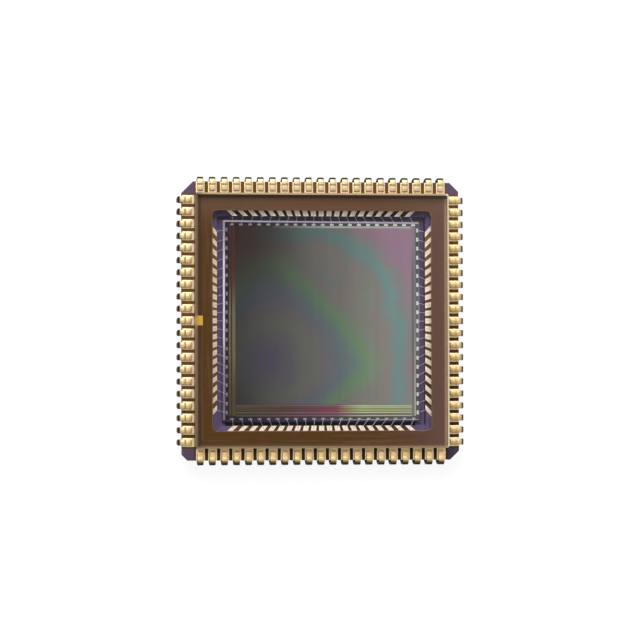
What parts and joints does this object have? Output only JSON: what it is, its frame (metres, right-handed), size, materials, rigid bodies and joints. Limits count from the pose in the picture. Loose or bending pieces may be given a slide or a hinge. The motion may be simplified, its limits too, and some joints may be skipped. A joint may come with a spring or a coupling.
{
  "type": "image sensor chip",
  "caption": "Square image sensor in a ceramic chip carrier with J-shaped gold leads on all sides and a flat glass window over the die.",
  "frame": {"origin": "on the centre line of the body, at the lowest line of the leads, where they touch the board", "axes": "+Z out of the window, +X to the right and +Y to the rear with the index mark on the left side"},
  "size_m": [0.0302, 0.0302, 0.0046],
  "materials": {
    "ceramic": "matte",
    "gold_plate": "satin",
    "index_gold": "satin",
    "silicon": "polished",
    "pad_aluminium": "satin",
    "wire_aluminium": "gloss",
    "die_paste": "satin",
    "window_adhesive": "gloss",
    "window_glass": "polished"
  },
  "bodies": {
    "root": {"ceramic_carrier": "ceramic", "index_mark": "index_gold", "die_attach": "die_paste", "sensor_die": "silicon", "die_pads_right": "pad_aluminium", "die_pads_rear": "pad_aluminium", "die_pads_left": "pad_aluminium", "die_pads_front": "pad_aluminium", "bond_wires_right": "wire_aluminium", "bond_wires_rear": "wire_aluminium", "bond_wires_left": "wire_aluminium", "bond_wires_front": "wire_aluminium", "bond_traces_right": "gold_plate", "bond_traces_rear": "gold_plate", "bond_traces_left": "gold_plate", "bond_traces_front": "gold_plate", "braze_right": "gold_plate", "braze_rear": "gold_plate", "braze_left": "gold_plate", "braze_front": "gold_plate", "leads_right": "gold_plate", "leads_rear": "gold_plate", "leads_left": "gold_plate", "leads_front": "gold_plate", "window_adhesive": "window_adhesive", "glass_window": "window_glass"}
  },
  "joints": []
}
